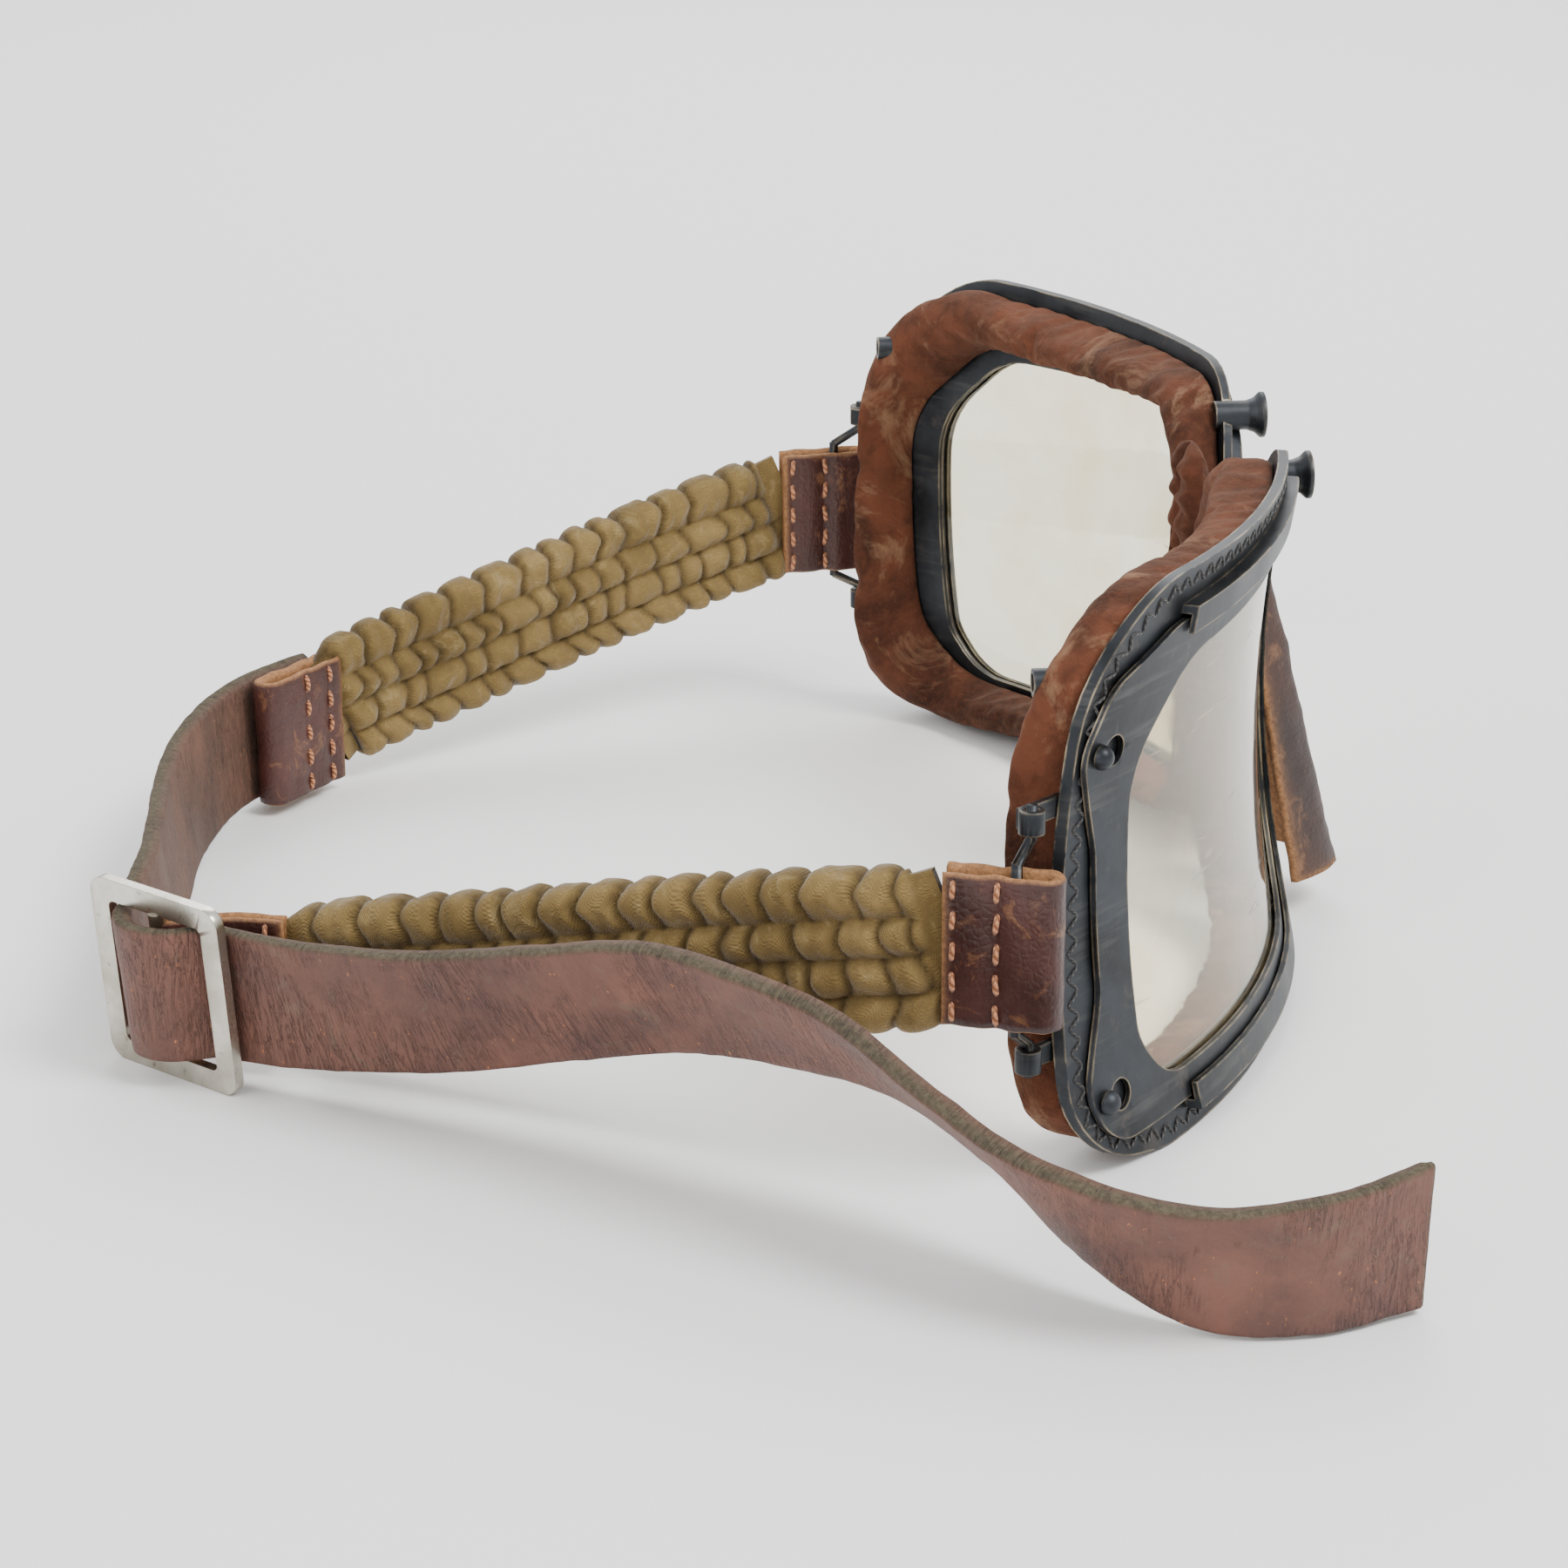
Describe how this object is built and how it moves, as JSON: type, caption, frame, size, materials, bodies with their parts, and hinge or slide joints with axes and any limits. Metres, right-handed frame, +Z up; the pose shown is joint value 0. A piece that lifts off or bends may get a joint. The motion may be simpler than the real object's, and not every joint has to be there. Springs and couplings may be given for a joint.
{
  "type": "motorcycle goggles",
  "caption": "Vintage goggles with curved steel eye frames, suede pads, straw lenses, ruched elastics and a buckled leather strap.",
  "frame": {"origin": "on the table, straight below the front of the nose bridge, between the two eye frames", "axes": "+Z up from the table, -Y ahead of the lenses, +X to the wearer's left"},
  "size_m": [0.2061, 0.15, 0.0635],
  "materials": {
    "blackened_steel": "satin blackened, worn bright along the edges",
    "straw_lens": "clear, pale straw tint",
    "black_rubber": "matt",
    "brown_suede": "napped suede with worn dusty patches",
    "black_thread": "waxed thread",
    "tan_thread": "waxed thread",
    "olive_cloth": "plain weave cotton, ruched",
    "tab_leather": "polished dark brown",
    "strap_leather": "worn brown with raw fuzzy edges",
    "nickel": "worn nickel plate"
  },
  "bodies": {
    "right_eye": {"right_eye_plate": "blackened_steel", "right_lens": "straw_lens", "right_lens_gasket": "black_rubber", "right_bezel_studs": "blackened_steel", "right_vent_horn": "blackened_steel", "right_outlet_tube": "blackened_steel", "right_face_pad": "brown_suede", "right_pad_stitching": "black_thread", "right_loop_lugs": "blackened_steel", "right_hinge_leaf": "blackened_steel", "hinge_pin": "blackened_steel", "right_elastic_cover": "olive_cloth", "right_elastic_core": "black_rubber", "strap": "strap_leather", "left_rear_tab": "tab_leather", "left_rear_tab_thread": "tan_thread", "left_elastic_cover": "olive_cloth", "left_elastic_core": "black_rubber", "nose_flap": "tab_leather", "nose_gusset": "brown_suede"},
    "left_eye": {"left_eye_plate": "blackened_steel", "left_lens": "straw_lens", "left_lens_gasket": "black_rubber", "left_bezel_studs": "blackened_steel", "left_vent_horn": "blackened_steel", "left_outlet_tube": "blackened_steel", "left_face_pad": "brown_suede", "left_pad_stitching": "black_thread", "left_loop_lugs": "blackened_steel", "left_hinge_leaf": "blackened_steel"},
    "right_bezel": {"right_bezel": "blackened_steel"},
    "left_bezel": {"left_bezel": "blackened_steel"},
    "right_loop": {"right_wire_loop": "blackened_steel", "right_front_tab": "tab_leather", "right_front_tab_thread": "tan_thread"},
    "left_loop": {"left_wire_loop": "blackened_steel", "left_front_tab": "tab_leather", "left_front_tab_thread": "tan_thread"},
    "buckle": {"buckle_frame": "nickel", "buckle_bar": "nickel", "right_rear_tab": "tab_leather", "right_rear_tab_thread": "tan_thread"}
  },
  "joints": [
    {"name": "nose_hinge", "type": "hinge", "parent": "right_eye", "child": "left_eye", "pos_m": [0, 0.001, 0.035], "axis": [0, 0, 1], "range_deg": [-25, 20], "deforming": ["left_elastic_cover", "left_elastic_core", "nose_flap", "nose_gusset"]},
    {"name": "right_bezel_turn", "type": "hinge", "parent": "right_eye", "child": "right_bezel", "pos_m": [-0.00396, 0.09812, 0.036], "axis": [0, 0, -1], "range_deg": [0, 1.5]},
    {"name": "left_bezel_turn", "type": "hinge", "parent": "left_eye", "child": "left_bezel", "pos_m": [0.00396, 0.09812, 0.036], "axis": [0, 0, 1], "range_deg": [0, 1.5]},
    {"name": "right_loop_swivel", "type": "hinge", "parent": "right_eye", "child": "right_loop", "pos_m": [-0.0807, 0.0361, 0.0285], "axis": [0, 0, 1], "range_deg": [-6, 6]},
    {"name": "left_loop_swivel", "type": "hinge", "parent": "left_eye", "child": "left_loop", "pos_m": [0.0807, 0.0361, 0.0285], "axis": [0, 0, 1], "range_deg": [-6, 6]},
    {"name": "buckle_slide", "type": "slide", "parent": "right_eye", "child": "buckle", "axis": [-0.6947, -0.7193, 0], "range_m": [-0.003, 0.006], "deforming": ["right_elastic_cover", "right_elastic_core", "strap"]}
  ]
}
